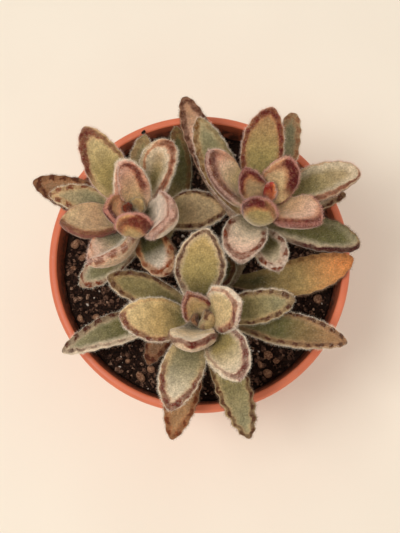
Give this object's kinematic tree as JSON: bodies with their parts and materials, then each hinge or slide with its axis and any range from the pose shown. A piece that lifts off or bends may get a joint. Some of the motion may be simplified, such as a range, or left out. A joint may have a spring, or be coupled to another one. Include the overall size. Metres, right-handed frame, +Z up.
{
  "type": "potted panda plant",
  "caption": "Panda plant (Kalanchoe tomentosa) with thick felted leaves edged in brown dashes, growing in gritty soil in a plain round clay-coloured pot.",
  "frame": {"origin": "centre of the pot's flat underside, on the surface that the pot stands on", "axes": "+Z up the pot's own axis, out of its mouth; +X to the right and +Y away from the viewer who faces the front stem"},
  "size_m": [0.1357, 0.1425, 0.1841],
  "materials": {
    "pot": "smooth terracotta-coloured, satin, slightly dusty",
    "soil": "loose dark potting mix with pumice grains and bark",
    "stem": "felted, woody lower down, with old leaf scars",
    "leaf": "thick, covered in short silvery felt, with brown dashes inside a cream margin"
  },
  "bodies": {
    "root": {"pot": "pot", "soil": "soil", "stem_left": "stem", "stem_right": "stem", "stem_front": "stem", "leaf_left_01": "leaf", "leaf_left_02": "leaf", "leaf_left_03": "leaf", "leaf_left_04": "leaf", "leaf_left_05": "leaf", "leaf_left_06": "leaf", "leaf_left_07": "leaf", "leaf_left_08": "leaf", "leaf_left_09": "leaf", "leaf_left_10": "leaf", "leaf_left_11": "leaf", "leaf_left_12": "leaf", "leaf_left_13": "leaf", "leaf_left_14": "leaf", "leaf_left_15": "leaf", "leaf_right_01": "leaf", "leaf_right_02": "leaf", "leaf_right_03": "leaf", "leaf_right_04": "leaf", "leaf_right_05": "leaf", "leaf_right_06": "leaf", "leaf_right_07": "leaf", "leaf_right_08": "leaf", "leaf_right_09": "leaf", "leaf_right_10": "leaf", "leaf_right_11": "leaf", "leaf_right_12": "leaf", "leaf_right_13": "leaf", "leaf_right_14": "leaf", "leaf_right_15": "leaf", "leaf_front_01": "leaf", "leaf_front_02": "leaf", "leaf_front_03": "leaf", "leaf_front_04": "leaf", "leaf_front_05": "leaf", "leaf_front_06": "leaf", "leaf_front_07": "leaf", "leaf_front_08": "leaf", "leaf_front_09": "leaf", "leaf_front_10": "leaf", "leaf_front_11": "leaf", "leaf_front_12": "leaf", "leaf_front_13": "leaf", "leaf_front_14": "leaf", "leaf_front_15": "leaf"}
  },
  "joints": []
}
